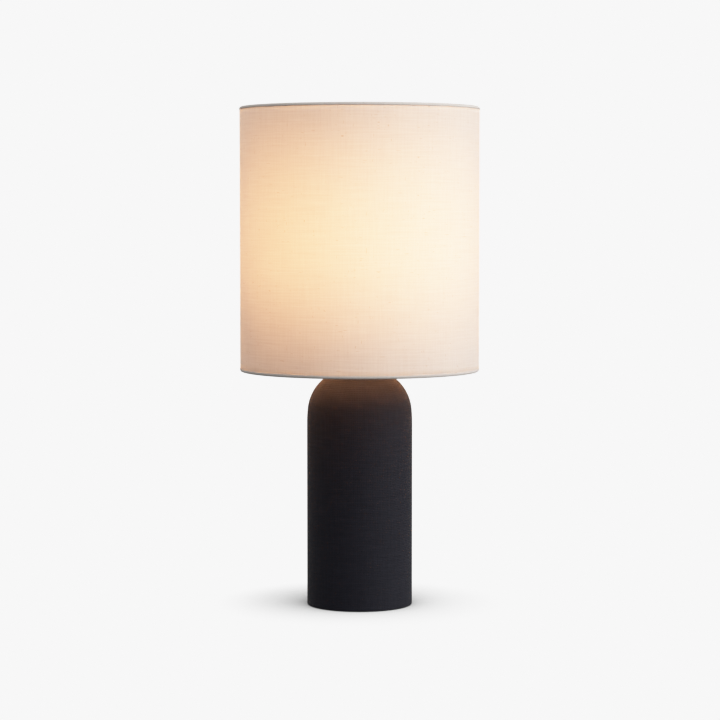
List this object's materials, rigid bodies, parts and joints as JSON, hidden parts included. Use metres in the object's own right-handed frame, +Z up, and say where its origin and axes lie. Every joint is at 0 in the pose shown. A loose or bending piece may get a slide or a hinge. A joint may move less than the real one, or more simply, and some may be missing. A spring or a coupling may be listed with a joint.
{
  "type": "table lamp",
  "caption": "Lit table lamp with a linen drum shade on a domed dark cylinder base; the shade turns, the bulb unscrews and the bar switch slides.",
  "frame": {"origin": "centre of the felt pad's underside, on the lamp's axis", "axes": "+Z up along the lamp's axis; the cord outlet faces +Y and the side seen from the front faces -Y"},
  "size_m": [0.25, 0.25, 0.5205],
  "materials": {
    "stoneware": "matte charcoal glaze with a fine woven imprint",
    "felt": "pressed felt",
    "cover_steel": "black paint",
    "grommet_rubber": "smooth",
    "zinc_steel": "zinc plated",
    "fibre": "vulcanised fibre",
    "black_metal": "satin black paint",
    "holder_plastic": "moulded, fine texture",
    "bar_plastic": "moulded",
    "porcelain": "unglazed porcelain",
    "brass": "stamped",
    "cap_nickel": "nickel plated",
    "cap_glass": "black glass",
    "bulb_plastic": "moulded",
    "bulb_opal": "opal diffuser, lit",
    "board_metal": "white solder mask",
    "led": "phosphor",
    "board_laminate": "solder mask",
    "electronics": "sleeved",
    "liner_plastic": "translucent white styrene",
    "linen": "plain weave with slubs",
    "rim_linen": "plain weave, rolled over the rim",
    "white_wire": "white powder coat"
  },
  "bodies": {
    "base": {"stoneware_base": "stoneware", "bottom_cover": "cover_steel", "felt_pad": "felt", "cord_outlet_grommet": "grommet_rubber", "threaded_tube": "zinc_steel", "ceiling_washer": "zinc_steel", "tooth_washer": "zinc_steel", "tube_nut": "zinc_steel", "fibre_washer": "fibre", "base_cap": "black_metal", "neck": "black_metal", "holder_cap": "holder_plastic", "entry_set_screw": "zinc_steel", "contact_insert": "porcelain", "shell_rivets": "brass", "screw_shell": "brass", "centre_contact": "brass", "terminals": "brass", "terminal_screws": "zinc_steel", "holder_skirt": "holder_plastic", "switch_leaves": "brass"},
    "switch": {"switch_bar": "bar_plastic", "switch_bridge": "brass"},
    "clamp": {"clamp_ring": "holder_plastic"},
    "shade": {"shade_liner": "liner_plastic", "shade_fabric": "linen", "shade_top_ring": "white_wire", "shade_bottom_ring": "white_wire", "shade_top_trim": "rim_linen", "shade_bottom_trim": "rim_linen", "gimbal_ring": "white_wire", "gimbal_spokes": "white_wire"},
    "bulb_contact": {"bulb_tip": "zinc_steel"},
    "bulb": {"bulb_insulator": "cap_glass", "bulb_screw_cap": "cap_nickel", "bulb_housing": "bulb_plastic", "bulb_diffuser": "bulb_opal", "bulb_led_board": "board_metal", "bulb_leds": "led", "bulb_driver_board": "board_laminate", "bulb_driver_parts": "electronics"}
  },
  "joints": [
    {"name": "shade_swivel", "type": "hinge", "parent": "base", "child": "shade", "pos_m": [0, 0, 0.3006], "axis": [0, 0, 1], "continuous": true},
    {"name": "clamp_ring_turn", "type": "hinge", "parent": "base", "child": "clamp", "pos_m": [0, 0, 0.3052], "axis": [0, 0, 1], "range_deg": [0, 90]},
    {"name": "bulb_travel", "type": "slide", "parent": "base", "child": "bulb_contact", "axis": [0, 0, 1], "range_m": [0, 0.01452]},
    {"name": "bulb_turn", "type": "hinge", "parent": "bulb_contact", "child": "bulb", "pos_m": [0, 0, 0.306], "axis": [0, 0, 1], "range_deg": [0, 1440]},
    {"name": "switch_push", "type": "slide", "parent": "base", "child": "switch", "axis": [-1, 0, 0], "range_m": [0, 0.006]}
  ],
  "couplings": [
    {"joint": "bulb_turn", "follows": "bulb_travel", "rad_per_m": 1731.4}
  ]
}
